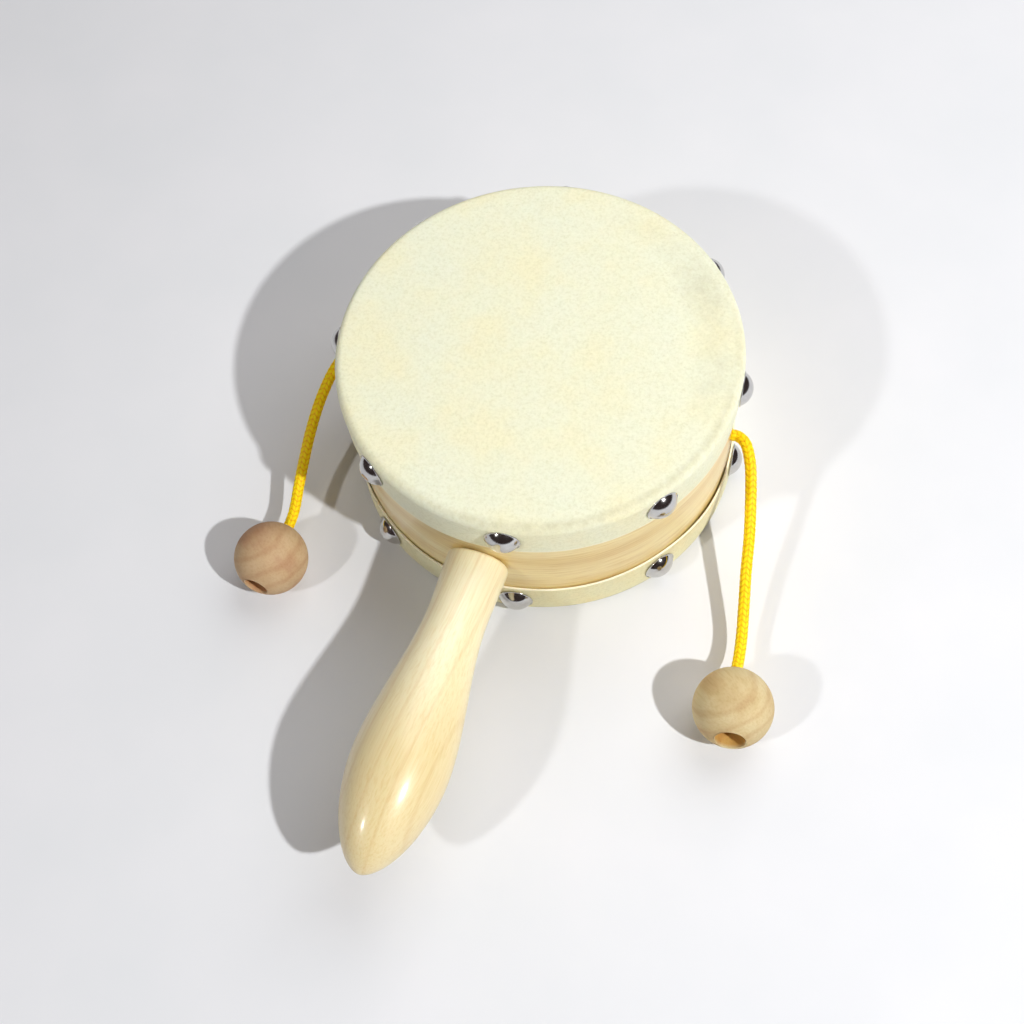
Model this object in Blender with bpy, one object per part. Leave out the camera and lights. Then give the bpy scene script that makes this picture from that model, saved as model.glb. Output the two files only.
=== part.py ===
# Handled rattle drum: a round wooden shell with a skin tacked over each end, a turned
# handle set in its side, and two wooden beads that swing on short braided cords.
# Metres, +Z up. The origin is the centre of the lower head's underside, the drum's axis
# is +Z, and the handle points along -Y.

import math

import bmesh
import bpy
from mathutils import Vector

mm = 0.001

# Shell
shell_radius = 50.5 * mm
shell_height = 45.0 * mm
shell_wall = 6.0 * mm
shell_rim_round = 1.0 * mm
shell_bore_round = 0.8 * mm

# Heads: one skin over each end, folded down the side as a flap
skin_thickness = 0.7 * mm
flap_depth = 12.0 * mm

# Tacks: one row in each flap. They were set by eye, so each has its own angle, in degrees
# from the handle and anticlockwise from above.
tack_rows = {
    "lower": [9.7, 53.7, 95.8, 140.0, 187.0, 234.0, 280.0, 324.7],
    "upper": [8.6, 53.5, 96.8, 137.5, 190.7, 235.7, 280.7, 325.3],
}
tack_drop = 6.0 * mm
tack_head_radius = 4.5 * mm
tack_head_height = 2.4 * mm
tack_shank_radius = 0.7 * mm
tack_shank_length = 5.0 * mm
tack_point_length = 1.5 * mm

# Handle, turned from one piece with its tenon
handle_length = 81.3 * mm
handle_root_radius = 8.0 * mm
handle_neck_radius = 7.6 * mm
handle_neck_length = 15.0 * mm
handle_swell_radius = 12.1 * mm
handle_swell_distance = 54.7 * mm
handle_root_round = 1.2 * mm
handle_nose_taper = 1.85
handle_nose_fullness = 0.58
tenon_radius = 4.0 * mm

# Cords: a straight hole in each side of the shell, a knot at both ends of each cord
cord_radius = 1.5 * mm
knot_radius = 2.9 * mm
mouth_run = 1.8 * mm

# Beads
bead_bore_depth = 11.0 * mm
bead_edge_round = 0.2 * mm

# Room between pieces that touch, and round what passes through a hole
gap = 0.3 * mm

# Steps around a circle, and steps along a rounded edge
shell_steps = 64
handle_steps = 24
bead_steps = 20
tack_steps = 10
hole_steps = 12
tack_hole_steps = 8
edge_steps = 3

# What follows from the sizes above
skin = skin_thickness + gap
drum_height = shell_height + 2 * skin
middle_height = drum_height / 2
bore_radius = shell_radius - shell_wall
skin_inner_radius = shell_radius + gap
skin_outer_radius = shell_radius + skin
handle_root = shell_radius + gap
down_y = -math.pi / 2

# Each side's cord hole in the shell, its bead, where the bead lies on the table, the way
# its wide bore faces, that bore's radius, and the cord's free run from shell to bead.
sides = {
    "right": {
        "hole_angle": math.radians(3.0),
        "bead_radius": 10.0 * mm,
        "bead_place": (69.8 * mm, -63.6 * mm),
        "bore_faces": (0.162, -0.966, 0.200),
        "bore_radius": 3.7 * mm,
        "route": [
            (54.9, 0.7, 23.9),
            (57.3, -3.8, 22.5),
            (59.0, -8.8, 19.8),
            (60.5, -14.1, 17.0),
            (62.0, -20.2, 14.5),
            (63.6, -28.5, 11.4),
            (65.4, -36.5, 8.8),
            (66.9, -43.7, 7.0),
            (67.7, -49.3, 6.9),
        ],
    },
    "left": {
        "hole_angle": math.radians(180.0),
        "bead_radius": 9.7 * mm,
        "bead_place": (-56.2 * mm, -60.5 * mm),
        "bore_faces": (-0.047, -0.997, 0.060),
        "bore_radius": 3.2 * mm,
        "route": [
            (-54.8, -1.5, 23.3),
            (-56.7, -5.1, 22.3),
            (-58.1, -10.0, 20.4),
            (-58.8, -16.9, 18.0),
            (-58.8, -24.0, 15.4),
            (-58.3, -31.3, 12.5),
            (-57.5, -38.3, 10.1),
            (-56.2, -45.2, 8.9),
        ],
    },
}

for old in list(bpy.data.objects):
    bpy.data.objects.remove(old)


def material(name, colour, roughness, metallic=0.0):
    finish = bpy.data.materials.new(name)
    finish.use_nodes = True
    shader = finish.node_tree.nodes["Principled BSDF"]
    shader.inputs["Base Color"].default_value = (*colour, 1.0)
    shader.inputs["Roughness"].default_value = roughness
    shader.inputs["Metallic"].default_value = metallic
    return finish


def add_object(name, data, finish=None):
    piece = bpy.data.objects.new(name, data)
    bpy.context.scene.collection.objects.link(piece)
    if finish and not data.materials:
        data.materials.append(finish)
    return piece


def arc(centre, radius, start, end, steps):
    # points on a circle in the profile plane, from one angle in degrees to another
    angles = [math.radians(start + (end - start) * i / steps) for i in range(steps + 1)]
    return [(centre[0] + radius * math.cos(a), centre[1] + radius * math.sin(a)) for a in angles]


def turned(name, profile, steps, is_ring):
    # spins a profile of (radius, height) points about Z; a ring's profile is closed, and
    # any other profile starts and ends on the axis
    bm = bmesh.new()
    verts = [bm.verts.new((radius, 0.0, height)) for radius, height in profile]
    edges = [bm.edges.new(pair) for pair in zip(verts, verts[1:])]
    if is_ring:
        edges.append(bm.edges.new((verts[-1], verts[0])))
    bmesh.ops.spin(
        bm,
        geom=verts + edges,
        cent=(0, 0, 0),
        axis=(0, 0, 1),
        angle=2 * math.pi,
        steps=steps,
        use_merge=True,
    )
    bmesh.ops.remove_doubles(bm, verts=bm.verts, dist=0.001 * mm)
    bmesh.ops.recalc_face_normals(bm, faces=bm.faces)
    mesh = bpy.data.meshes.new(name)
    bm.to_mesh(mesh)
    bm.free()
    mesh.shade_smooth()
    mesh.set_sharp_from_angle(angle=math.radians(35))
    return mesh


def point_along(piece, place, direction):
    # puts a turned piece's own +Z along a direction, with its own +Y as far up as it goes
    piece.rotation_mode = "QUATERNION"
    piece.rotation_quaternion = Vector(direction).to_track_quat("Z", "Y")
    piece.location = place


def radial(angle, distance=1.0, height=0.0):
    return Vector((distance * math.cos(angle), distance * math.sin(angle), height))


def cut(target, cutter):
    cutter.hide_render = True
    cutter.display_type = "WIRE"
    cutter.hide_set(True)
    hole = target.modifiers.new(f"cut {cutter.name}", "BOOLEAN")
    hole.operation = "DIFFERENCE"
    hole.solver = "EXACT"
    hole.object = cutter


def drill_mesh(name, holes, steps=hole_steps):
    # one mesh of round drills, each given by its radius, near end, direction and length
    bm = bmesh.new()
    for radius, near, direction, length in holes:
        made = bmesh.ops.create_cone(
            bm,
            cap_ends=True,
            segments=steps,
            radius1=radius,
            radius2=radius,
            depth=length,
        )
        turn = Vector(direction).to_track_quat("Z", "Y").to_matrix().to_4x4()
        turn.translation = Vector(near) + Vector(direction).normalized() * (length / 2)
        bmesh.ops.transform(bm, matrix=turn, verts=made["verts"])
    mesh = bpy.data.meshes.new(name)
    bm.to_mesh(mesh)
    bm.free()
    return mesh


def tack_angles(row):
    return [down_y + math.radians(angle) for angle in tack_rows[row]]


def tack_height(row):
    return tack_drop if row == "lower" else drum_height - tack_drop


def tack_holes(row):
    # clearance holes from outside the flap to just past the shank's point
    radius = tack_shank_radius + gap
    outside = skin_outer_radius + gap
    length = tack_shank_length + 2 * gap
    return [
        (radius, radial(angle, outside + gap, tack_height(row)), -radial(angle), length + gap)
        for angle in tack_angles(row)
    ]


def shell_profile():
    low = skin
    high = skin + shell_height
    rim = shell_rim_round
    bore = shell_bore_round
    outer_low = arc((shell_radius - rim, low + rim), rim, -90, 0, edge_steps)
    outer_high = arc((shell_radius - rim, high - rim), rim, 0, 90, edge_steps)
    inner_high = arc((bore_radius + bore, high - bore), bore, 90, 180, 1)
    inner_low = arc((bore_radius + bore, low + bore), bore, 180, 270, 1)
    return outer_low + outer_high + inner_high + inner_low


def make_shell():
    wood = material("shell wood", (0.62, 0.47, 0.25), 0.55)
    shell = add_object("shell", turned("shell", shell_profile(), shell_steps, True), wood)
    both_rows = tack_holes("lower") + tack_holes("upper")
    cut(shell, add_object("tack holes", drill_mesh("tack holes", both_rows, tack_hole_steps)))
    through = shell_wall + 4 * gap
    outside = shell_radius + 2 * gap
    cord_holes = [
        (
            cord_radius + gap,
            radial(side["hole_angle"], outside, middle_height),
            -radial(side["hole_angle"]),
            through,
        )
        for side in sides.values()
    ]
    cut(shell, add_object("cord holes", drill_mesh("cord holes", cord_holes)))
    socket = [(tenon_radius + gap, radial(down_y, outside, middle_height), -radial(down_y), through)]
    cut(shell, add_object("handle socket", drill_mesh("handle socket", socket)))


def head_profile():
    # the skin's section for a head whose face lies at height 0 and whose flap runs up
    fold_inner = shell_rim_round + gap
    fold_outer = fold_inner + skin_thickness
    fold_centre = (shell_radius - shell_rim_round, fold_outer)
    outer_fold = arc(fold_centre, fold_outer, -90, 0, edge_steps)
    inner_fold = arc(fold_centre, fold_inner, 0, -90, edge_steps - 1)
    edge = [(skin_outer_radius, flap_depth), (skin_inner_radius, flap_depth)]
    return [(0.0, 0.0)] + outer_fold + edge + inner_fold + [(0.0, skin_thickness)]


def make_heads():
    skin_finish = material("skin", (0.86, 0.80, 0.60), 0.6)
    for row in tack_rows:
        name = f"head_{row}"
        head = add_object(name, turned(name, head_profile(), shell_steps, False), skin_finish)
        if row == "upper":
            head.location.z = drum_height
            head.rotation_euler.x = math.pi
        drills = drill_mesh(f"{name} holes", tack_holes(row), tack_hole_steps)
        cut(head, add_object(f"{name} holes", drills))


def tack_profile():
    # the dome's underside is at height 0, the dome rises above it and the shank hangs below
    dome_radius = (tack_head_radius**2 + tack_head_height**2) / (2 * tack_head_height)
    rim_angle = math.degrees(math.asin(tack_head_radius / dome_radius))
    dome_centre = (0.0, tack_head_height - dome_radius)
    dome = arc(dome_centre, dome_radius, 90 - rim_angle, 90, edge_steps)
    shank_end = -tack_shank_length + tack_point_length
    shank = [(0.0, -tack_shank_length), (tack_shank_radius, shank_end), (tack_shank_radius, 0.0)]
    return shank + dome[:-1] + [(0.0, tack_head_height)]


def make_tacks():
    chrome = material("chrome", (0.75, 0.75, 0.76), 0.12, metallic=1.0)
    mesh = turned("tack", tack_profile(), tack_steps, False)
    outside = skin_outer_radius + gap
    for row in tack_rows:
        for number, angle in enumerate(tack_angles(row), start=1):
            tack = add_object(f"tack_{row}_{number}", mesh, chrome)
            point_along(tack, radial(angle, outside, tack_height(row)), radial(angle))


def eased(start, end, share):
    # an S-curve from one value to another, level at both ends
    return start + (end - start) * share * share * (3 - 2 * share)


def handle_radius(distance):
    # narrows from the root to the neck, widens to the swell, then rounds off to the tip
    if distance < handle_neck_length:
        return eased(handle_root_radius, handle_neck_radius, distance / handle_neck_length)
    if distance < handle_swell_distance:
        share = (distance - handle_neck_length) / (handle_swell_distance - handle_neck_length)
        return eased(handle_neck_radius, handle_swell_radius, share)
    share = (distance - handle_swell_distance) / (handle_length - handle_swell_distance)
    return handle_swell_radius * (1 - share**handle_nose_taper) ** handle_nose_fullness


def handle_profile():
    # heights are distances from the drum's axis
    tenon_end = bore_radius + gap
    tenon = [(0.0, tenon_end), (tenon_radius, tenon_end), (tenon_radius, handle_root)]
    root_centre = (handle_root_radius - handle_root_round, handle_root + handle_root_round)
    root = arc(root_centre, handle_root_round, -90, 0, edge_steps - 1)
    stem_steps = 9
    nose_steps = 6
    stem = [handle_swell_distance * i / stem_steps for i in range(1, stem_steps)]
    # the nose's points crowd towards the tip, where it curves most
    nose_length = handle_length - handle_swell_distance
    nose = [
        handle_swell_distance + nose_length * math.sin(math.pi / 2 * i / nose_steps)
        for i in range(nose_steps)
    ]
    body = [(handle_radius(x), handle_root + x) for x in stem + nose]
    return tenon + root + body + [(0.0, handle_root + handle_length)]


def make_handle():
    wood = material("handle wood", (0.80, 0.62, 0.32), 0.3)
    handle = add_object("handle", turned("handle", handle_profile(), handle_steps, False), wood)
    point_along(handle, (0, 0, middle_height), radial(down_y))


def bead_profile(side):
    # a ball with a wide bore from its front and the cord's hole on through the back
    ball_radius = side["bead_radius"]
    wide = side["bore_radius"]
    narrow = cord_radius + gap
    edge = bead_edge_round
    # each mouth has a small chamfer, so the ball's arc ends a little outside the bore
    front = math.degrees(math.acos((wide + edge) / ball_radius))
    back = -math.degrees(math.acos((narrow + edge) / ball_radius))
    ball = arc((0.0, 0.0), ball_radius, back, front, bead_steps // 2)
    front_mouth = ball[-1][1] - edge
    back_mouth = ball[0][1] + edge
    floor = bead_floor(side)
    bore = [(wide, front_mouth), (wide, floor), (narrow, floor), (narrow, back_mouth)]
    return ball + bore


def bead_floor(side):
    # height of the wide bore's floor on the bead's own axis, counted from its centre
    return side["bead_radius"] - bead_bore_depth


def bead_centre(side):
    x, y = side["bead_place"]
    return Vector((x, y, side["bead_radius"]))


def make_beads():
    wood = material("bead wood", (0.62, 0.46, 0.27), 0.75)
    for name, side in sides.items():
        mesh = turned(f"bead_{name}", bead_profile(side), bead_steps, True)
        bead = add_object(f"bead_{name}", mesh, wood)
        point_along(bead, bead_centre(side), side["bore_faces"])


def smooth_run(points, steps):
    # Catmull-Rom curve through the points, with the same number of steps in each span
    padded = [2 * points[0] - points[1]] + points + [2 * points[-1] - points[-2]]
    run = [points[0]]
    for before, start, end, after in zip(padded, padded[1:], padded[2:], padded[3:]):
        for i in range(1, steps + 1):
            t = i / steps
            along = end - before
            bend = 2 * before - 5 * start + 4 * end - after
            twist = 3 * start - before - 3 * end + after
            run.append(start + 0.5 * t * (along + t * (bend + t * twist)))
    return run


def knot_run(start, direction):
    # points and radii of a round knot whose near side is at the start point
    steps = 6
    centre = start + direction * knot_radius
    shares = [-math.cos(math.pi * i / steps) for i in range(1, steps)]
    points = [centre + direction * (knot_radius * share) for share in shares]
    radii = [knot_radius * math.sqrt(1 - share * share) for share in shares]
    return points, [max(radius, cord_radius) for radius in radii]


def cord_line(side):
    # the whole cord as points and radii: inner knot, shell hole, free run, bead, end knot
    out = radial(side["hole_angle"])
    level = Vector((0, 0, middle_height))
    inner_points, inner_radii = knot_run(out * (bore_radius - gap) + level, -out)
    hole = [out * bore_radius + level, out * shell_radius + level]
    mouth = [out * (shell_radius + mouth_run) + level]
    faces = Vector(side["bore_faces"]).normalized()
    centre = bead_centre(side)
    bead_back = centre - faces * (side["bead_radius"] - mouth_run)
    behind_bead = centre - faces * (side["bead_radius"] + mouth_run / 2)
    seat = centre + faces * bead_floor(side)
    free = [Vector(point) * mm for point in side["route"]]
    run = smooth_run(hole + mouth + free + [behind_bead, bead_back, seat], 2)
    end_points, end_radii = knot_run(seat + faces * gap, faces)
    points = inner_points[::-1] + run + end_points
    radii = inner_radii[::-1] + [cord_radius] * len(run) + end_radii
    return points, radii


def make_cords():
    braid = material("cord braid", (0.95, 0.68, 0.02), 0.6)
    for name, side in sides.items():
        points, radii = cord_line(side)
        curve = bpy.data.curves.new(f"cord_{name}", "CURVE")
        curve.dimensions = "3D"
        curve.fill_mode = "FULL"
        curve.bevel_depth = cord_radius
        curve.bevel_resolution = 2
        curve.use_fill_caps = True
        line = curve.splines.new("POLY")
        line.points.add(len(points) - 1)
        for target, point, radius in zip(line.points, points, radii):
            target.co = (*point, 1.0)
            target.radius = radius / cord_radius
        line.use_smooth = True
        add_object(f"cord_{name}", curve, braid)


make_shell()
make_heads()
make_tacks()
make_handle()
make_beads()
make_cords()
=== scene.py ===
import math

import bmesh
import bpy
import numpy as np
from mathutils import Matrix, Vector


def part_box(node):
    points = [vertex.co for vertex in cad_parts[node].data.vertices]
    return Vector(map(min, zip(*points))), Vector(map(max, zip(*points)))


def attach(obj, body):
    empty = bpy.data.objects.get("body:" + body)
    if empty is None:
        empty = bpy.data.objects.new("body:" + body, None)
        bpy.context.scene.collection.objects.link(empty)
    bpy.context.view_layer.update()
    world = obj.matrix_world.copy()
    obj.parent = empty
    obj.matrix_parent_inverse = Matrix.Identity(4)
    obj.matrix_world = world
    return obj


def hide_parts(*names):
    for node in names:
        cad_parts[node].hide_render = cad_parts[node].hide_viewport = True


# A small handled rattle drum: pale wooden shell, two cream rawhide heads held by chrome
# tacks, a lacquered turned handle, and two raw wooden beads on yellow braided cords.

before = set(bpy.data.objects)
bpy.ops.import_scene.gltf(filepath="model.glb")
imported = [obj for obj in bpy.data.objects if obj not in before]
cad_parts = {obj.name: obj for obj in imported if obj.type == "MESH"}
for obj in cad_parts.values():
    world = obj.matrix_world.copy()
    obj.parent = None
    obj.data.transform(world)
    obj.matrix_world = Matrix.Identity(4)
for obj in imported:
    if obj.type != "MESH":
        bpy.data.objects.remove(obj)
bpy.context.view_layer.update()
mm = 0.001


# Measures that the pieces share, read from the frame

shellLow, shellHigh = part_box("shell")
upperLow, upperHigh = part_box("head_upper")
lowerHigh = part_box("head_lower")[1]
shellRadius = (shellHigh.x - shellLow.x) / 2
skinRadius = (upperHigh.x - upperLow.x) / 2
drumTop = upperHigh.z
middleHeight = drumTop / 2
flapDepth = lowerHigh.z
room = 0.3 * mm  # left between touching pieces
# each tack's turn from the handle in degrees, anticlockwise from above
tackTurns = {
    "lower": [9.7, 53.7, 95.8, 140.0, 187.0, 234.0, 280.0, 324.7],
    "upper": [8.6, 53.5, 96.8, 137.5, 190.7, 235.7, 280.7, 325.3],
}


# Surfaces

def surfaceMesh(name, points, isRing=False, attributes=None):
    # points is a grid: rows run along the profile, columns run around it and join up.
    # On a ring the rows join up too; otherwise the first and last rows are one pole point.
    rows, columns = points.shape[:2]
    row = np.arange(rows if isRing else rows - 3)[:, None]
    column = np.arange(columns)[None, :]
    nextRow = (row + 1) % rows if isRing else row + 1
    nextColumn = (column + 1) % columns
    first = 0 if isRing else 1
    corners = [(row, column), (row, nextColumn), (nextRow, nextColumn), (nextRow, column)]
    quads = np.stack([first + r * columns + c for r, c in corners], -1).reshape(-1, 4)
    faces = quads.tolist()
    if isRing:
        kept = points.reshape(-1, 3)
    else:
        kept = np.concatenate([points[0, :1], points[1:-1].reshape(-1, 3), points[-1, :1]])
        ring = np.arange(columns)
        far = len(kept) - 1
        lastRing = far - columns + ring
        nextRing = (ring + 1) % columns
        startFan = np.stack([np.zeros_like(ring), 1 + nextRing, 1 + ring], -1)
        endFan = np.stack([np.full_like(ring, far), lastRing, far - columns + nextRing], -1)
        faces += startFan.tolist() + endFan.tolist()
    mesh = bpy.data.meshes.new(name)
    mesh.from_pydata(kept.tolist(), [], faces)
    for label, values in (attributes or {}).items():
        grid = np.broadcast_to(values, (rows, columns))
        flat = grid.ravel() if isRing else np.r_[grid[0, 0], grid[1:-1].ravel(), grid[-1, 0]]
        stored = mesh.attributes.new(label, "FLOAT", "POINT")
        stored.data.foreach_set("value", flat.astype(np.float32))
    facing = bmesh.new()
    facing.from_mesh(mesh)
    bmesh.ops.recalc_face_normals(facing, faces=facing.faces)
    facing.to_mesh(mesh)
    facing.free()
    mesh.shade_smooth()
    return mesh


def addPiece(name, mesh, material, slot, *nodes):
    piece = bpy.data.objects.new(name, mesh)
    bpy.context.scene.collection.objects.link(piece)
    mesh.materials.clear()
    mesh.materials.append(material)
    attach(piece, "root")
    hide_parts(*nodes)
    return piece


def arcPoints(centre, radius, start, end, count):
    # Points on a circle of the profile plane, from one angle in degrees to another.
    turn = np.radians(np.linspace(start, end, count))
    return np.stack([centre[0] + radius * np.cos(turn), centre[1] + radius * np.sin(turn)], -1)


def linePoints(start, end, count):
    # Evenly spaced points between two profile points, without the two ends.
    share = np.linspace(0, 1, count + 2)[1:-1, None]
    return np.array(start) * (1 - share) + np.array(end) * share


def turnedPoints(radius, height, columns):
    # Turns a profile about Z: each column is the profile at the next angle.
    angle = np.linspace(0, 2 * np.pi, columns, endpoint=False)
    radius, height = np.broadcast_arrays(np.atleast_2d(radius), np.atleast_2d(height))
    return np.stack([radius * np.cos(angle), radius * np.sin(angle), height + 0 * angle], -1)


def placed(points, origin, direction):
    # Carries points whose own +Z runs along the direction, +Y as far up as it goes.
    turn = Vector(direction).to_track_quat("Z", "Y").to_matrix()
    return points @ np.array(turn).T + np.array(origin)


def ripple(angle, waves, seed):
    # A smooth closed wander around the drum, from -1 to 1: a few sines of set phase.
    phases = np.random.default_rng(seed).uniform(0, 2 * np.pi, len(waves))
    parts = [np.cos(wave * angle + phase) for wave, phase in zip(waves, phases)]
    return sum(parts) / len(waves)


# Materials

def hexColour(code):
    # An sRGB hex colour as linear red, green, blue and alpha.
    channels = [int(code[i : i + 2], 16) / 255 for i in (1, 3, 5)]
    linear = [c / 12.92 if c <= 0.04045 else ((c + 0.055) / 1.055) ** 2.4 for c in channels]
    return (*linear, 1.0)


def addNode(material, kind, settings=None, inputs=None, links=None):
    # Adds one node, sets its own properties and its sockets, and links others to it.
    tree = material.node_tree
    made = tree.nodes.new(kind)
    for label, value in (settings or {}).items():
        setattr(made, label, value)
    for socket, value in (inputs or {}).items():
        made.inputs[socket].default_value = value
    for socket, source in (links or {}).items():
        tree.links.new(source, made.inputs[socket])
    return made


def newMaterial(name):
    material = bpy.data.materials.new(name)
    material.use_nodes = True
    return material, material.node_tree.nodes["Principled BSDF"]


def setSockets(shader, values):
    for label, value in values.items():
        shader.inputs[label].default_value = value


def linkTo(material, shader, links):
    for socket, source in links.items():
        material.node_tree.links.new(source, shader.inputs[socket])


def colourRamp(material, source, stops):
    # A ramp from a value to colours, given as (place, hex colour) pairs.
    ramp = addNode(material, "ShaderNodeValToRGB", links={"Fac": source})
    elements = ramp.color_ramp.elements
    for place, code in stops[1:-1]:
        elements.new(place)
    for element, (place, code) in zip(elements, stops):
        element.position = place
        element.color = hexColour(code)
    return ramp.outputs["Color"]


def mixColours(material, share, first, second, blend="MIX"):
    settings = {"data_type": "RGBA", "blend_type": blend, "clamp_factor": True}
    mix = addNode(material, "ShaderNodeMix", settings)
    for index, value in ((0, share), (6, first), (7, second)):
        if isinstance(value, bpy.types.NodeSocket):
            material.node_tree.links.new(value, mix.inputs[index])
        else:
            mix.inputs[index].default_value = value
    return mix.outputs[2]


def rawhideMaterial(name, creams):
    # Rawhide, scraped and dried: cream, matt, faintly translucent, with broad yellow and
    # green-grey clouds, a fine tooth all over and a paler cut edge, partly its own colour, partly a
    # painted highlight.
    material, shader = newMaterial(name)
    place = addNode(material, "ShaderNodeTexCoord").outputs["Object"]
    clouds = addNode(
        material,
        "ShaderNodeTexNoise",
        inputs={"Scale": 1 / (22 * mm), "Detail": 3.0, "Roughness": 0.55},
        links={"Vector": place},
    ).outputs["Fac"]
    cream = colourRamp(material, clouds, list(zip((0.34, 0.5, 0.66), creams)))
    tooth = addNode(
        material,
        "ShaderNodeTexNoise",
        inputs={"Scale": 1 / (0.8 * mm), "Detail": 4.0, "Roughness": 0.8},
        links={"Vector": place},
    ).outputs["Fac"]
    toothShade = colourRamp(material, tooth, [(0.3, "#DAD8C4"), (0.5, "#F4F4F0"), (0.7, "#FFFFFF")])
    skin = mixColours(material, 0.55, cream, toothShade, "MULTIPLY")
    # speckled grey-green handling marks, where the mesh says that the skin was handled
    speckle = addNode(
        material,
        "ShaderNodeTexNoise",
        inputs={"Scale": 1 / (2.2 * mm), "Detail": 5.0, "Roughness": 0.75},
        links={"Vector": place},
    ).outputs["Fac"]
    handled = addNode(material, "ShaderNodeAttribute", {"attribute_name": "handled"}).outputs["Fac"]
    marked = addNode(
        material, "ShaderNodeMath", {"operation": "MULTIPLY"}, links={0: speckle, 1: handled}
    ).outputs[0]
    markShare = addNode(
        material,
        "ShaderNodeMapRange",
        inputs={"From Min": 0.12, "From Max": 0.55, "To Max": 0.6},
        links={"Value": marked},
    ).outputs["Result"]
    skin = mixColours(material, markShare, skin, hexColour("#BEB996"))
    # the cut edge is painted paler: partly the skin's own colour, partly a painted highlight where the
    # edge catches the light
    edge = addNode(material, "ShaderNodeAttribute", {"attribute_name": "cutEdge"}).outputs["Fac"]
    skin = mixColours(material, edge, skin, hexColour("#FFF8DC"))
    bump = addNode(
        material,
        "ShaderNodeBump",
        inputs={"Strength": 0.25, "Distance": 0.08 * mm},
        links={"Height": tooth},
    ).outputs["Normal"]
    setSockets(
        shader,
        {
            "Roughness": 0.62,
            "IOR": 1.5,
            "Subsurface Weight": 0.18,
            "Subsurface Scale": 0.8 * mm,
            "Subsurface Radius": (1.0, 0.75, 0.45),
        },
    )
    linkTo(material, shader, {"Base Color": skin, "Normal": bump})
    return material


def woodMaterial(name, look):
    # Wood: growth rings are a distorted wave across the grain, whose crests above ringEdge
    # show as darker lines; fibres are a noise drawn out along the grain. Both give a turned
    # or bent piece its direction. The toned attribute deepens the colour where it says so.
    material, shader = newMaterial(name)
    place = addNode(material, "ShaderNodeTexCoord").outputs["Object"]
    if look["isBent"]:
        around = addNode(material, "ShaderNodeAttribute", {"attribute_name": "around"}).outputs["Fac"]
        height = addNode(material, "ShaderNodeSeparateXYZ", links={"Vector": place}).outputs["Z"]
        bent = addNode(material, "ShaderNodeCombineXYZ", links={"X": around, "Z": height})
        place = bent.outputs["Vector"]
    turned = addNode(
        material,
        "ShaderNodeMapping",
        inputs={"Location": look["centre"], "Rotation": look["turn"]},
        links={"Vector": place},
    ).outputs["Vector"]
    # the grain runs along the mapped X axis
    stretched = addNode(
        material,
        "ShaderNodeMapping",
        inputs={"Scale": (look["ringStretch"], 1.0, 1.0)},
        links={"Vector": turned},
    ).outputs["Vector"]
    rings = addNode(
        material,
        "ShaderNodeTexWave",
        {"wave_type": "BANDS", "bands_direction": "Z", "wave_profile": "SIN"},
        inputs={
            "Scale": math.tau / (20 * look["ringWidth"]),
            "Distortion": look["ringWander"],
            "Detail": 2.0,
            "Detail Scale": look["wanderScale"],
            "Detail Roughness": 0.5,
        },
        links={"Vector": stretched},
    ).outputs["Fac"]
    drawnOut = addNode(
        material,
        "ShaderNodeMapping",
        inputs={"Scale": (0.035, 1.0, 1.0)},
        links={"Vector": turned},
    ).outputs["Vector"]
    fibres = addNode(
        material,
        "ShaderNodeTexNoise",
        inputs={"Scale": 1 / look["fibreWidth"], "Detail": 4.0, "Roughness": 0.65},
        links={"Vector": drawnOut},
    ).outputs["Fac"]
    clouds = addNode(
        material,
        "ShaderNodeTexNoise",
        inputs={"Scale": 1 / look["cloudSize"], "Detail": 2.0},
        links={"Vector": stretched},
    ).outputs["Fac"]
    tones = [(0.32, look["pale"]), (0.5, look["middle"]), (0.68, look["warm"])]
    base = colourRamp(material, clouds, tones)
    ringTones = [(0.0, "#FFFFFF"), (look["ringEdge"], "#FBF8F2"), (1.0, look["ringLine"])]
    ringShade = colourRamp(material, rings, ringTones)
    base = mixColours(material, look["ringStrength"], base, ringShade, "MULTIPLY")
    fibreShade = colourRamp(material, fibres, [(0.3, look["fibreLine"]), (0.55, "#FFFFFF")])
    base = mixColours(material, look["fibreStrength"], base, fibreShade, "MULTIPLY")
    toned = addNode(material, "ShaderNodeAttribute", {"attribute_name": "toned"}).outputs["Fac"]
    base = mixColours(material, toned, base, hexColour(look["tonedColour"]), "MULTIPLY")
    bump = addNode(
        material,
        "ShaderNodeBump",
        inputs={"Strength": look["fibreBump"], "Distance": 0.05 * mm},
        links={"Height": fibres},
    ).outputs["Normal"]
    roughness = addNode(
        material,
        "ShaderNodeMapRange",
        inputs={"To Min": look["roughness"] - 0.06, "To Max": look["roughness"] + 0.06},
        links={"Value": fibres},
    ).outputs["Result"]
    setSockets(
        shader,
        {
            "IOR": 1.5,
            "Coat Weight": look["lacquer"],
            "Coat Roughness": look["lacquerRoughness"],
            "Coat IOR": 1.5,
            "Subsurface Weight": 0.06,
            "Subsurface Scale": 0.6 * mm,
        },
    )
    linkTo(material, shader, {"Base Color": base, "Normal": bump, "Roughness": roughness})
    return material


def chromeMaterial():
    # Chrome plate on stamped steel: mirror bright, with a faint haze from handling.
    material, shader = newMaterial("chrome plate")
    place = addNode(material, "ShaderNodeTexCoord").outputs["Object"]
    haze = addNode(
        material,
        "ShaderNodeTexNoise",
        inputs={"Scale": 1 / (1.5 * mm), "Detail": 3.0},
        links={"Vector": place},
    ).outputs["Fac"]
    roughness = addNode(
        material,
        "ShaderNodeMapRange",
        inputs={"From Min": 0.3, "From Max": 0.7, "To Min": 0.1, "To Max": 0.15},
        links={"Value": haze},
    ).outputs["Result"]
    tint = colourRamp(material, haze, [(0.3, "#C3C2C1"), (0.7, "#CFCECC")])
    setSockets(shader, {"Metallic": 1.0})
    linkTo(material, shader, {"Base Color": tint, "Roughness": roughness})
    return material


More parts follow.
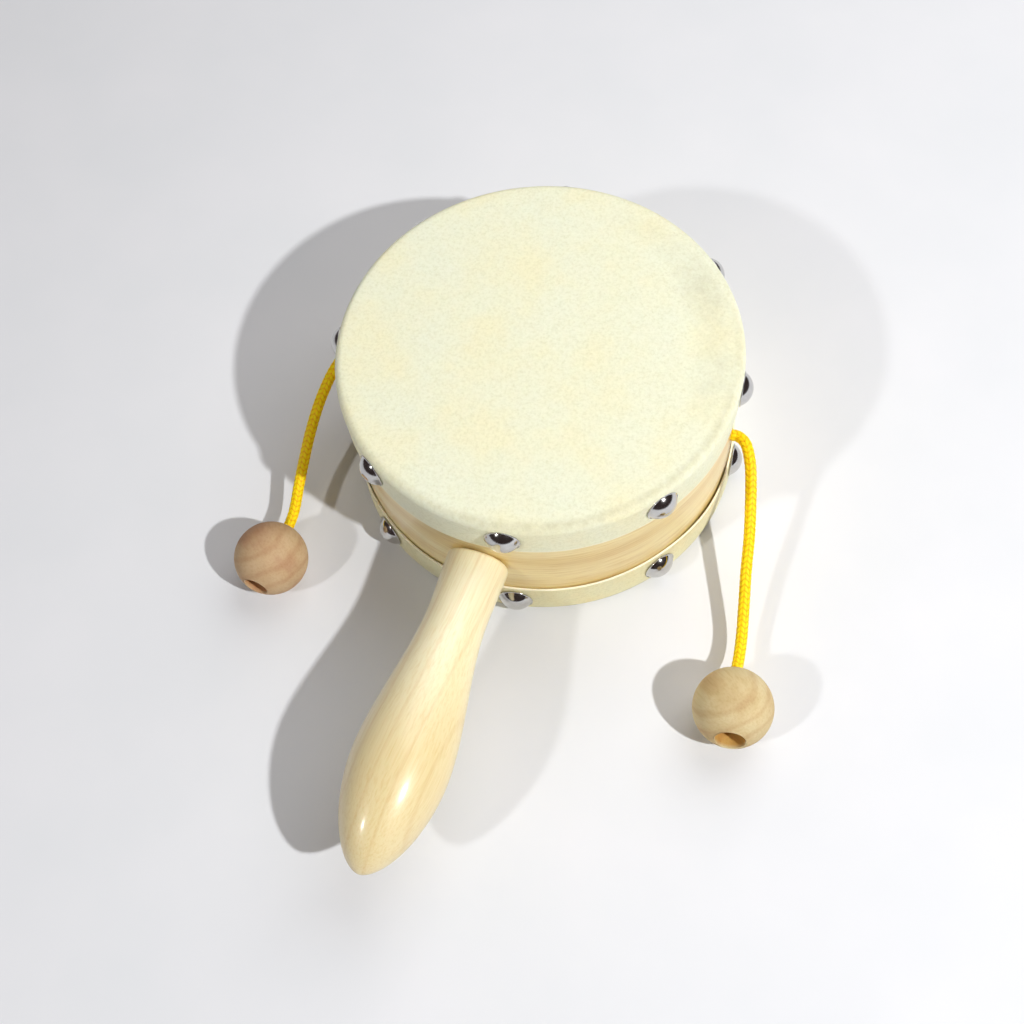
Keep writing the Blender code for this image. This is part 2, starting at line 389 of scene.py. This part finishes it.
def braidMaterial():
    # Braided polyester cord: saturated yellow, with the soft sheen of fine filament. A painted highlight
    # brightens each stitch where it stands up, and painted shade turns the gaps between stitches orange.
    material, shader = newMaterial("braided polyester")
    crown = addNode(material, "ShaderNodeAttribute", {"attribute_name": "crown"}).outputs["Fac"]
    # painted shade and highlight: the ramp runs from orange in the grooves to pale yellow on the stitch
    # crowns
    colour = colourRamp(
        material,
        crown,
        [(0.0, "#DE9A00"), (0.3, "#F4BC00"), (0.6, "#FFD400"), (1.0, "#FFE610")],
    )
    place = addNode(material, "ShaderNodeTexCoord").outputs["Object"]
    fuzz = addNode(
        material,
        "ShaderNodeTexNoise",
        inputs={"Scale": 1 / (0.35 * mm), "Detail": 3.0},
        links={"Vector": place},
    ).outputs["Fac"]
    fuzzShade = colourRamp(material, fuzz, [(0.3, "#F0E4C8"), (0.6, "#FFFFFF")])
    colour = mixColours(material, 0.5, colour, fuzzShade, "MULTIPLY")
    bump = addNode(
        material,
        "ShaderNodeBump",
        inputs={"Strength": 0.3, "Distance": 0.05 * mm},
        links={"Height": fuzz},
    ).outputs["Normal"]
    setSockets(
        shader,
        {
            "Roughness": 0.5,
            "IOR": 1.5,
            "Specular IOR Level": 0.25,
            "Sheen Weight": 0.08,
            "Sheen Roughness": 0.4,
            "Sheen Tint": hexColour("#FFE860"),
            "Subsurface Weight": 0.15,
            "Subsurface Scale": 0.5 * mm,
        },
    )
    linkTo(material, shader, {"Base Color": colour, "Normal": bump})
    return material


# The upper skin has paler creams than the lower one, whose creams are darker and yellower
rawhides = {
    "upper": rawhideMaterial("pale rawhide", ("#EEF0D8", "#F0F0D4", "#F3EFCC")),
    "lower": rawhideMaterial("tan rawhide", ("#E6E2BE", "#EAE3B9", "#EEDFAC")),
}
chrome = chromeMaterial()
braid = braidMaterial()
quarterTurn = math.pi / 2
# Bent poplar for the shell, its grain running round the drum in long level flows
shellWood = woodMaterial(
    "lacquered poplar",
    {
        "isBent": True,
        "centre": (0, 0, 0),
        "turn": (0, 0, 0),
        "ringStretch": 0.25,
        "ringWidth": 11 * mm,
        "ringEdge": 0.6,
        "ringWander": 5.0,
        "wanderScale": 1.2,
        "fibreWidth": 0.55 * mm,
        "cloudSize": 14 * mm,
        "pale": "#F6E8B8",
        "middle": "#F0DC9C",
        "warm": "#E6CB88",
        "ringLine": "#ECDAAE",
        "ringStrength": 0.6,
        "fibreLine": "#DDC690",
        "fibreStrength": 0.75,
        "fibreBump": 0.25,
        "roughness": 0.45,
        "tonedColour": "#FFFFFF",
        "lacquer": 0.8,
        "lacquerRoughness": 0.36,
    },
)
# Turned lime wood under clear lacquer. Its layers stand upright and run almost along the
# handle, so that thin lines cross it at a slant.
handleWood = woodMaterial(
    "lacquered lime",
    {
        "isBent": False,
        "centre": (0, 0, -3 * mm),
        "turn": (-quarterTurn, 0.08 - quarterTurn, 0),
        "ringStretch": 0.12,
        "ringWidth": 6.0 * mm,
        "ringEdge": 0.93,
        "ringWander": 1.6,
        "wanderScale": 1.0,
        "fibreWidth": 0.45 * mm,
        "cloudSize": 16 * mm,
        "pale": "#F8F0CE",
        "middle": "#F6EBC4",
        "warm": "#F2E5B8",
        "ringLine": "#DDB67C",
        "ringStrength": 0.17,
        "fibreLine": "#E8D6AC",
        "fibreStrength": 0.4,
        "fibreBump": 0.15,
        "roughness": 0.42,
        "tonedColour": "#EDE4D1",
        "lacquer": 0.5,
        "lacquerRoughness": 0.18,
    },
)
# Sanded, unfinished wood for the beads, duller and browner, with plain growth rings and a
# bore that the drill left deeper in colour; the left bead gets darker, pinker colours
beadLook = {
    "isBent": False,
    "centre": (0, 0, 0),
    "turn": (0.5, 0.6, 0.9),
    "ringStretch": 0.5,
    "ringWidth": 4.5 * mm,
    "ringEdge": 0.6,
    "ringWander": 4.0,
    "wanderScale": 1.0,
    "fibreWidth": 0.6 * mm,
    "cloudSize": 7 * mm,
    "pale": "#D5C498",
    "middle": "#CFBA8B",
    "warm": "#C6AE7E",
    "ringLine": "#D2A880",
    "ringStrength": 0.26,
    "fibreLine": "#DCC49C",
    "fibreStrength": 0.35,
    "fibreBump": 0.5,
    "tonedColour": "#F4CC72",
    "roughness": 0.72,
    "lacquer": 0.0,
    "lacquerRoughness": 0.3,
}
pinkLook = {"pale": "#C6AA84", "middle": "#BFA07A", "warm": "#B58F6C", "tonedColour": "#FAD6B8"}
beadWoods = {
    "right": woodMaterial("raw sanded beech", beadLook),
    "left": woodMaterial("raw sanded beech, darker pink", {**beadLook, **pinkLook}),
}
print("materials made")


# Cords: their routes repeat the part's own points, in millimetres

cord = {
    "radius": 1.5 * mm,
    "knotRadius": 2.9 * mm,
    "stitchPitch": 1.5 * mm,
    "stitchColumns": 8,
    "twistLength": 360 * mm,  # the columns wind once round the cord in this length
    "stitchSlant": 0.62,  # how far a stitch climbs across its column, in pitches
    "stitchRelief": 0.18 * mm,
    "rowStep": 0.15 * mm,
    "ringSteps": 64,
    "mouthRun": 1.8 * mm,
}
bead = {
    "boreDepth": 11.0 * mm,
    "edgeRound": 0.2 * mm,
    "boreTone": 0.8,
    "ballRows": 72,
    "columns": 96,
}
wallInside = 44.5 * mm
sides = {
    "right": {
        "holeAngle": math.radians(3.0),
        "beadRadius": 10.0 * mm,
        "beadPlace": (69.8, -63.6),
        "boreFaces": (0.162, -0.966, 0.200),
        "boreRadius": 3.7 * mm,
        "route": [
            (54.9, 0.7, 23.9),
            (57.3, -3.8, 22.5),
            (59.0, -8.8, 19.8),
            (60.5, -14.1, 17.0),
            (62.0, -20.2, 14.5),
            (63.6, -28.5, 11.4),
            (65.4, -36.5, 8.8),
            (66.9, -43.7, 7.0),
            (67.7, -49.3, 6.9),
        ],
    },
    "left": {
        "holeAngle": math.radians(180.0),
        "beadRadius": 9.7 * mm,
        "beadPlace": (-56.2, -60.5),
        "boreFaces": (-0.047, -0.997, 0.060),
        "boreRadius": 3.2 * mm,
        "route": [
            (-54.8, -1.5, 23.3),
            (-56.7, -5.1, 22.3),
            (-58.1, -10.0, 20.4),
            (-58.8, -16.9, 18.0),
            (-58.8, -24.0, 15.4),
            (-58.3, -31.3, 12.5),
            (-57.5, -38.3, 10.1),
            (-56.2, -45.2, 8.9),
        ],
    },
}


def unit(vector):
    vector = np.array(vector, float)
    return vector / np.linalg.norm(vector)


def smoothRun(points, steps):
    # Catmull-Rom curve: each span is a cubic whose end slopes join its neighbours.
    padded = np.concatenate([[2 * points[0] - points[1]], points, [2 * points[-1] - points[-2]]])
    before, start, end, after = padded[:-3, None], padded[1:-2, None], padded[2:-1, None], padded[3:, None]
    t = (np.arange(steps) / steps)[None, :, None]
    bend = 2 * before - 5 * start + 4 * end - after
    twist = 3 * start - before - 3 * end + after
    run = start + 0.5 * t * (end - before + t * (bend + t * twist))
    return np.concatenate([run.reshape(-1, 3), points[-1:]])


def cordPath(side):
    # The centreline: inner knot, hole, free run, bead, end knot, as evenly spaced points.
    out = np.array([math.cos(side["holeAngle"]), math.sin(side["holeAngle"]), 0.0])
    level = np.array([0.0, 0.0, middleHeight])
    faces = unit(side["boreFaces"])
    ball = side["beadRadius"]
    centre = np.array([side["beadPlace"][0] * mm, side["beadPlace"][1] * mm, ball])
    knot = 2 * cord["knotRadius"]
    seat = centre + faces * (ball - bead["boreDepth"])
    points = [out * (wallInside - room - knot) + level]
    points += [out * wallInside + level, out * shellRadius + level]
    points += [out * (shellRadius + cord["mouthRun"]) + level]
    points += [np.array(point) * mm for point in side["route"]]
    points += [centre - faces * (ball + cord["mouthRun"] / 2)]
    points += [centre - faces * (ball - cord["mouthRun"]), seat]
    points += [seat + faces * (room + knot)]
    run = smoothRun(np.array(points), 24)
    along = np.r_[0, np.cumsum(np.linalg.norm(np.diff(run, axis=0), axis=1))]
    rows = int(along[-1] / cord["rowStep"])
    even = np.linspace(0, along[-1], rows)
    return np.stack([np.interp(even, along, run[:, axis]) for axis in range(3)], -1), even


def cordMesh(name, path, along):
    # A tube on the path. Its stitches stand in columns round the cord; each column leans
    # the other way from the next, so that two make a chevron. A stitch is highest at its
    # own middle and falls to a groove at its ends and at its column's sides.
    length = along[-1]
    tangent = np.gradient(path, along, axis=0)
    tangent /= np.linalg.norm(tangent, axis=1)[:, None]
    across = np.cross(tangent, [0.0, 0.0, 1.0])
    across /= np.linalg.norm(across, axis=1)[:, None]
    upward = np.cross(across, tangent)
    knot = cord["knotRadius"]
    toEnd = np.minimum(along, length - along)
    ball = np.sqrt(np.clip(knot**2 - (toEnd - knot) ** 2, 0, None))
    radius = np.where(toEnd < knot, ball, np.maximum(ball, cord["radius"]))[:, None]
    turn = np.linspace(0, 1, cord["ringSteps"], endpoint=False)[None, :]
    column = (turn + along[:, None] / cord["twistLength"]) * cord["stitchColumns"]
    sideways = 2 * (column % 1) - 1
    lean = np.where(np.floor(column) % 2 == 0, 1.0, -1.0)
    pitch = along[:, None] / cord["stitchPitch"] + lean * sideways * cord["stitchSlant"] / 2
    endways = 2 * (pitch % 1) - 1
    crown = np.sqrt(np.clip(1 - np.abs(sideways) ** 3, 0, 1)) * (1 - endways**4)
    surface = radius - cord["stitchRelief"] * (1 - crown) * np.minimum(radius / cord["radius"], 1)
    angle = 2 * np.pi * turn[..., None]
    ring = across[:, None] * np.cos(angle) + upward[:, None] * np.sin(angle)
    return surfaceMesh(name, path[:, None] + ring * surface[..., None], attributes={"crown": crown})


def makeCords():
    for name, side in sides.items():
        path, along = cordPath(side)
        mesh = cordMesh(f"braidedCord_{name}", path, along)
        side["piece"] = addPiece(f"braidedCord_{name}", mesh, braid, "cord_braid", f"cord_{name}")
        side["path"] = path
        side["length"] = float(along[-1])
        print("cord", name, round(side["length"] * 1000, 1), "mm")


# Beads

def makeBeads():
    # A bead is a ball's arc between its two mouths, then the wide bore's wall and floor
    # and the cord's hole, all turned about the bore.
    for name, side in sides.items():
        edge = bead["edgeRound"]
        hole = cord["radius"] + room
        size = side["beadRadius"]
        floor = size - bead["boreDepth"]
        front = math.degrees(math.acos((side["boreRadius"] + edge) / size))
        back = -math.degrees(math.acos((hole + edge) / size))
        ball = arcPoints((0, 0), size, back, front, bead["ballRows"])
        frontMouth = arcPoints((side["boreRadius"] + edge, ball[-1, 1] - edge), edge, 75, 180, 6)
        backMouth = arcPoints((hole + edge, ball[0, 1] + edge), edge, 180, 285, 6)
        wall = linePoints(frontMouth[-1], (side["boreRadius"], floor), 10)
        corner = np.array([(side["boreRadius"], floor), (hole, floor)])
        wayOut = linePoints((hole, floor), backMouth[0], 8)
        profile = np.concatenate([ball, frontMouth, wall, corner, wayOut, backMouth])
        grid = turnedPoints(profile[:, :1], profile[:, 1:], bead["columns"])
        # everything but the ball and its front mouth was cut by the drill
        toned = (np.arange(len(profile)) >= len(ball) + len(frontMouth))[:, None] * bead["boreTone"]
        centre = (side["beadPlace"][0] * mm, side["beadPlace"][1] * mm, size)
        points = placed(grid, centre, side["boreFaces"])
        mesh = surfaceMesh(f"woodenBead_{name}", points, isRing=True, attributes={"toned": toned})
        side["bead"] = addPiece(f"woodenBead_{name}", mesh, beadWoods[name], "bead_wood", f"bead_{name}")


# Shell

shell = {
    "wall": 6.0 * mm,
    "rimRound": 1.0 * mm,
    "boreRound": 0.8 * mm,
    "columns": 288,
    "holeSteps": 48,
    "tenonRadius": 4.0 * mm,
}


def rod(name, radius, start, direction, length):
    # A plain closed rod, used to cut a hole.
    profile = np.array([(0, 0), (radius, 0), (radius, length), (0, length)])
    grid = turnedPoints(profile[:, :1], profile[:, 1:], shell["holeSteps"])
    cutter = bpy.data.objects.new(name, surfaceMesh(name, placed(grid, start, direction)))
    bpy.context.scene.collection.objects.link(cutter)
    return cutter


def cutHoles(piece, cutters):
    for cutter in cutters:
        cut = piece.modifiers.new(cutter.name, "BOOLEAN")
        cut.operation = "DIFFERENCE"
        cut.solver = "EXACT"
        cut.object = cutter
    evaluated = piece.evaluated_get(bpy.context.evaluated_depsgraph_get())
    baked = bpy.data.meshes.new_from_object(evaluated)
    piece.modifiers.clear()
    piece.data = baked
    for cutter in cutters:
        bpy.data.objects.remove(cutter)


def makeShell():
    # The wall's section: rounded outer rims, straight sides and a small round inside.
    inside = shellRadius - shell["wall"]
    low, high = shellLow.z, shellHigh.z
    rim, bore = shell["rimRound"], shell["boreRound"]
    outerLow = arcPoints((shellRadius - rim, low + rim), rim, -90, 0, 6)
    outerHigh = arcPoints((shellRadius - rim, high - rim), rim, 0, 90, 6)
    innerHigh = arcPoints((inside + bore, high - bore), bore, 90, 180, 4)
    innerLow = arcPoints((inside + bore, low + bore), bore, 180, 270, 4)
    profile = np.concatenate(
        [
            outerLow,
            linePoints(outerLow[-1], outerHigh[0], 12),
            outerHigh,
            innerHigh,
            linePoints(innerHigh[-1], innerLow[0], 6),
            innerLow,
        ]
    )
    grid = turnedPoints(profile[:, :1], profile[:, 1:], shell["columns"])
    # the way round in metres, counted from the back, where the bent strip's ends are joined
    angle = np.linspace(0, 2 * np.pi, shell["columns"], endpoint=False)
    around = (angle - math.pi / 2) % (2 * np.pi) * shellRadius
    mesh = surfaceMesh("drumShell", grid, isRing=True, attributes={"around": around})
    piece = addPiece("drumShell", mesh, shellWood, "shell_wood", "shell")
    ways = [(cord["radius"] + room, side["holeAngle"]) for side in sides.values()]
    ways.append((shell["tenonRadius"] + room, -math.pi / 2))
    cutters = []
    for number, (radius, angle) in enumerate(ways):
        out = np.array([math.cos(angle), math.sin(angle), 0.0])
        start = out * (inside - 2 * mm) + [0, 0, middleHeight]
        cutters.append(rod(f"cutter_{number}", radius, start, out, shell["wall"] + 4 * mm))
    cutHoles(piece, cutters)


# Tacks

tack = {
    "headRadius": 4.5 * mm,
    "headHeight": 2.9 * mm,
    "standOff": 2.4 * mm,  # from the skin to the top of the dome; the rest is let into the skin
    "rimRound": 0.22 * mm,
    "shankRadius": 0.7 * mm,
    "shankLength": 5.0 * mm,
    "pointLength": 1.5 * mm,
    "drop": 6.0 * mm,
    "columns": 64,
}


def tackPoints():
    # A domed head: a ball's cap that ends in a small rolled rim, over a pointed shank.
    wide, tall, roll = tack["headRadius"], tack["headHeight"], tack["rimRound"]
    capWide, capTall = wide - roll, tall - roll
    ball = (capWide**2 + capTall**2) / (2 * capTall)
    rimAngle = math.degrees(math.asin(capWide / ball))
    cap = arcPoints((0, tall - ball), ball, 90, 90 - rimAngle, 20)
    rim = arcPoints((wide - roll, roll), roll, 30, -90, 8)
    under = np.array([(tack["shankRadius"], 0.0)])
    tip = tack["shankLength"] - tack["pointLength"]
    shank = np.array([(tack["shankRadius"], -tip), (0.0, -tack["shankLength"])])
    profile = np.concatenate([cap, rim, under, shank])
    return turnedPoints(profile[:, :1], profile[:, 1:], tack["columns"])


def makeTacks():
    grid = tackPoints()
    domeTop = skinRadius + room + tack["standOff"]
    for row, height in (("lower", tack["drop"]), ("upper", drumTop - tack["drop"])):
        for number, turn in enumerate(tackTurns[row], start=1):
            angle = math.radians(turn - 90)
            out = np.array([math.cos(angle), math.sin(angle), 0.0])
            foot = out * (domeTop - tack["headHeight"]) + [0, 0, height]
            name = f"chromeTack_{row}_{number}"
            mesh = surfaceMesh(name, placed(grid, foot, out))
            addPiece(name, mesh, chrome, "tack_chrome", f"tack_{row}_{number}")


# Heads

head = {
    "skin": 0.7 * mm,
    "fold": 2.0 * mm,
    "columns": 384,
    "outerDraw": 0.35 * mm,  # the flap thins towards its cut edge, from outside and inside
    "innerDraw": 0.15 * mm,
    "edgeRound": 0.15 * mm,
    "edgeWander": 0.25 * mm,
    "faceWander": 0.1 * mm,
    "tackDent": 0.12 * mm,
    "dentSize": 6.5 * mm,
    "scuffInset": 1.4 * mm,
    "scuffWidth": 1.3 * mm,
    "edgeBand": 0.6 * mm,
    "flapMark": 0.25,
}
# how far the flap's edge stands off between each tack and the next, in millimetres
flapLifts = {
    "upper": [0.15, 0.15, 0.25, 0.2, 0.2, 0.2, 0.25, 0.2],
    "lower": [0.15, 0.5, 0.3, 0.2, 0.3, 0.2, 0.25, 0.2],
}
# where the upper face was handled: a soft band inside its rim, round to the right
stain = {
    "inset": 7.0 * mm,
    "width": 7.0 * mm,
    "turn": math.radians(32),
    "spread": math.radians(48),
    "strength": 0.85,
}


def tackGaps(row, turn):
    # For each turn from the handle: the number of the gap between two tacks it lies in,
    # its share of the way across that gap, and its distance in degrees to the nearest tack.
    starts = np.array(tackTurns[row])
    gap = (np.searchsorted(starts, turn, side="right") - 1) % len(starts)
    width = (starts[(gap + 1) % len(starts)] - starts[gap]) % 360
    share = ((turn - starts[gap]) % 360) / width
    return gap, share, np.minimum(share, 1 - share) * width


def headPoints(row, seed):
    # The skin's section runs from the middle of its outer face to the fold, down the flap,
    # round the cut edge and back inside. The flap's edge lifts between the tacks by a
    # squared sine, and the skin dents a little under each tack.
    outer, skin, fold = skinRadius, head["skin"], head["fold"]
    share = np.linspace(0, 1, 30)[:, None]
    foldCentre = (outer - fold, fold)
    face = np.concatenate([share * (outer - fold), 0 * share], 1)
    outerFold = arcPoints(foldCentre, fold, -90, 0, 9)[1:]
    corner = head["edgeRound"]
    flap = linePoints((outer, fold), (outer, flapDepth - corner), 24)
    outerEdge = arcPoints((outer - corner, flapDepth - corner), corner, 0, 90, 5)
    innerEdge = arcPoints((outer - skin + corner, flapDepth - corner), corner, 90, 180, 5)
    innerFlap = linePoints(innerEdge[-1], (outer - skin, fold), 16)
    innerFold = arcPoints(foldCentre, fold - skin, 0, -90, 7)
    innerFace = linePoints((outer - fold, skin), (0, skin), 12)
    profile = np.concatenate(
        [face, outerFold, flap, outerEdge, innerEdge, innerFlap, innerFold, innerFace, [(0, skin)]]
    )
    radius, depth = profile[:, :1], profile[:, 1:]
    flapShare = np.clip((depth - fold) / (flapDepth - fold), 0, 1)
    faceShare = np.clip(1 - radius / (outer - fold), 0, 1) ** 0.5
    inward = np.clip((outer - radius) / skin, 0, 1)
    draw = head["outerDraw"] + (head["innerDraw"] - head["outerDraw"]) * inward
    angle = np.linspace(0, 2 * np.pi, head["columns"], endpoint=False)[None, :]
    gap, gapShare, fromTack = tackGaps(row, (np.degrees(angle) + 90) % 360)
    lift = np.array(flapLifts[row])[gap] * mm * np.sin(np.pi * gapShare) ** 2
    sideways = np.radians(fromTack) * outer
    spot = np.exp(-((sideways**2 + (depth - tack["drop"]) ** 2) / (head["dentSize"] / 2) ** 2))
    radius = radius - flapShare * draw + flapShare**2 * lift - head["tackDent"] * spot * (flapShare > 0)
    wander = ripple(angle, [3, 5, 8, 13], seed)
    depth = depth + flapShare**3 * head["edgeWander"] * (wander - 1) / 2
    # the face wanders inwards only, so that it stays inside the drum's own height
    x, y = radius * np.cos(angle), radius * np.sin(angle)
    swell = np.sin(x * 70 + seed) * np.cos(y * 90 - seed) * 0.5 + 0.5
    depth = depth + head["faceWander"] * swell * faceShare
    height = drumTop - depth if row == "upper" else depth
    # the band along the cut edge that the skin's material paints paler, partly as a painted highlight
    nearEdge = np.clip(1 - np.abs(profile[:, 1:] - flapDepth) / head["edgeBand"], 0, 1)
    fromMark = (angle - stain["turn"] + np.pi) % (2 * np.pi) - np.pi
    marks = np.exp(-(((radius - outer + stain["inset"]) / stain["width"]) ** 2))
    marks = marks * stain["strength"] * np.exp(-((fromMark / stain["spread"]) ** 2))
    marks = marks * (0.75 + 0.25 * ripple(angle, [4, 7, 11], seed))
    # the fold is scuffed all along, most at the front right
    scuff = np.exp(-(((radius - outer + head["scuffInset"]) / head["scuffWidth"]) ** 2)) * (depth < fold)
    scuff = scuff * (0.5 + 0.4 * np.cos(angle + math.radians(50)))
    onFlap = head["flapMark"] * (flapShare > 0) + scuff
    return (
        np.stack([x, y, height + 0 * angle], -1),
        {"cutEdge": nearEdge + 0 * angle, "handled": np.maximum(marks, onFlap)},
    )


def makeHeads():
    for seed, row in ((3, "upper"), (8, "lower")):
        points, attributes = headPoints(row, seed)
        name = f"rawhideHead_{row}"
        mesh = surfaceMesh(name, points, attributes=attributes)
        addPiece(name, mesh, rawhides[row], "skin", f"head_{row}")


# Handle

handle = {
    "length": 81.3 * mm,
    "rootRadius": 8.0 * mm,
    "neckRadius": 7.6 * mm,
    "neckLength": 15.0 * mm,
    "swellDistance": 54.7 * mm,
    "rootRound": 1.2 * mm,
    "copeFade": 9.0 * mm,  # the root's hollow dies out over this length
    "toneStart": 20 * mm,
    "toneRun": 40 * mm,
    "toneShare": 0.9,
    "noseTaper": 1.85,
    "noseFullness": 0.58,
    "columns": 128,
}


def eased(start, end, share):
    # An S-curve from one value to another, level at both ends.
    share = np.clip(share, 0, 1)
    return start + (end - start) * share * share * (3 - 2 * share)


def makeHandle():
    # The turned outline: it narrows to the neck, widens to the swell and rounds off. The
    # nose's points crowd towards the tip, where it curves most.
    root = shellRadius + room
    low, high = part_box("handle")
    swellRadius = (high.x - low.x) / 2
    stem = np.linspace(handle["rootRound"], handle["swellDistance"], 90)
    toNeck = eased(handle["rootRadius"], handle["neckRadius"], stem / handle["neckLength"])
    stretch = handle["swellDistance"] - handle["neckLength"]
    toSwell = eased(0, swellRadius - handle["neckRadius"], (stem - handle["neckLength"]) / stretch)
    stemRadius = toNeck + toSwell
    nose = np.sin(np.linspace(0, np.pi / 2, 40))[1:-1]
    noseLength = handle["length"] - handle["swellDistance"]
    noseRadius = swellRadius * (1 - nose ** handle["noseTaper"]) ** handle["noseFullness"]
    body = np.concatenate(
        [
            np.stack([stemRadius, root + stem], -1),
            np.stack([noseRadius, root + handle["swellDistance"] + noseLength * nose], -1),
        ]
    )
    tenonEnd = shellRadius - shell["wall"] + room
    rounding = handle["rootRound"]
    tenon = np.array([(0, tenonEnd), (shell["tenonRadius"], tenonEnd), (shell["tenonRadius"], root)])
    shoulder = arcPoints((handle["rootRadius"] - rounding, root + rounding), rounding, -90, 0, 7)[:-1]
    tip = np.array([(0, root + handle["length"])])
    profile = np.concatenate([tenon, shoulder, body, tip])
    grid = turnedPoints(profile[:, :1], profile[:, 1:], handle["columns"])
    points = placed(grid, (0, 0, middleHeight), (0, -1, 0))
    # the root is hollowed to sit on the round shell: it moves back by the circle's sag
    fromRoot = -points[..., 1] - root
    sag = root - np.sqrt(root**2 - points[..., 0] ** 2)
    hollow = np.where(fromRoot > -room, 1 - eased(0, 1, fromRoot / handle["copeFade"]), 0)
    points[..., 1] += sag * hollow
    # towards the nose the colour deepens to tan
    toned = eased(0, handle["toneShare"], (fromRoot - handle["toneStart"]) / handle["toneRun"])
    mesh = surfaceMesh("turnedHandle", points, attributes={"toned": toned})
    addPiece("turnedHandle", mesh, handleWood, "handle_wood", "handle")


# Floor, white lights and camera

stage = {
    "floorRadius": 0.5,
    "keyPlace": (0.594, -0.238, 0.658),
    "keyPower": 6.4,
    "keySize": 0.028,
    "secondPlace": (-0.534, -0.777, 0.849),
    "secondPower": 3.7,
    "secondSize": 0.07,
    "panelPlace": (0.15, 0.42, 0.58),
    "panelPower": 3.0,
    "panelSize": 0.8,
    # what the chrome mirrors beyond the floor: a pale table up to eye level, a dark room above
    "surround": [(0.0, "#D8D8DC"), (0.497, "#D8D8DC"), (0.503, "#3E3433")],
}
camera = {
    "place": (0.0760, -0.1774, 0.3414),
    "forward": (-0.2038, 0.4001, -0.8935),
    "up": (-0.2637, 0.8565, 0.4436),
    "focalPixels": 1400.0,
    "imagePixels": 1024.0,
    "sensor": 36.0,
}


def addLight(name, place, power, size):
    lamp = bpy.data.lights.new(name, "AREA")
    lamp.shape = "DISK"
    lamp.size = size
    lamp.energy = power
    light = bpy.data.objects.new(name, lamp)
    bpy.context.scene.collection.objects.link(light)
    light.location = place
    light.rotation_euler = Vector(place).to_track_quat("Z", "Y").to_euler()


def makeStage():
    bpy.ops.mesh.primitive_circle_add(
        vertices=96, radius=stage["floorRadius"], fill_type="NGON", location=(0, 0, -0.1 * mm)
    )
    floor = bpy.context.object
    floor.name = "floor"
    material, shader = newMaterial("matt white paper")
    place = addNode(material, "ShaderNodeTexCoord").outputs["Object"]
    tooth = addNode(
        material,
        "ShaderNodeTexNoise",
        inputs={"Scale": 1 / (40 * mm), "Detail": 3.0},
        links={"Vector": place},
    ).outputs["Fac"]
    colour = colourRamp(material, tooth, [(0.3, "#E0E2E5"), (0.7, "#E4E5E8")])
    setSockets(shader, {"Roughness": 0.9, "Specular IOR Level": 0.2})
    linkTo(material, shader, {"Base Color": colour})
    floor.data.materials.append(material)
    addLight("keyLight", stage["keyPlace"], stage["keyPower"], stage["keySize"])
    addLight("secondLight", stage["secondPlace"], stage["secondPower"], stage["secondSize"])
    addLight("softPanel", stage["panelPlace"], stage["panelPower"], stage["panelSize"])
    world = bpy.data.worlds.new("studio")
    bpy.context.scene.world = world
    world.use_nodes = True
    direction = addNode(world, "ShaderNodeTexCoord").outputs["Object"]
    height = addNode(world, "ShaderNodeSeparateXYZ", links={"Vector": direction}).outputs["Z"]
    share = addNode(
        world, "ShaderNodeMapRange", inputs={"From Min": -1.0, "From Max": 1.0}, links={"Value": height}
    ).outputs["Result"]
    surround = colourRamp(world, share, stage["surround"])
    linkTo(world, world.node_tree.nodes["Background"], {"Color": surround})
    bpy.context.scene.view_settings.view_transform = "Standard"


def makeCamera():
    forward = Vector(camera["forward"]).normalized()
    right = forward.cross(Vector(camera["up"])).normalized()
    up = right.cross(forward)
    lens = bpy.data.cameras.new("camera")
    lens.sensor_width = camera["sensor"]
    lens.lens = camera["sensor"] * camera["focalPixels"] / camera["imagePixels"]
    lens.clip_start = 0.01
    viewer = bpy.data.objects.new("camera", lens)
    bpy.context.scene.collection.objects.link(viewer)
    axes = Matrix((right, up, -forward)).transposed().to_4x4()
    viewer.matrix_world = Matrix.Translation(camera["place"]) @ axes
    bpy.context.scene.camera = viewer


makeCamera()
makeCords()
makeBeads()
print("cords and beads made")
makeShell()
makeHeads()
print("shell and heads made")
makeTacks()
makeHandle()
print("tacks and handle made")
makeStage()
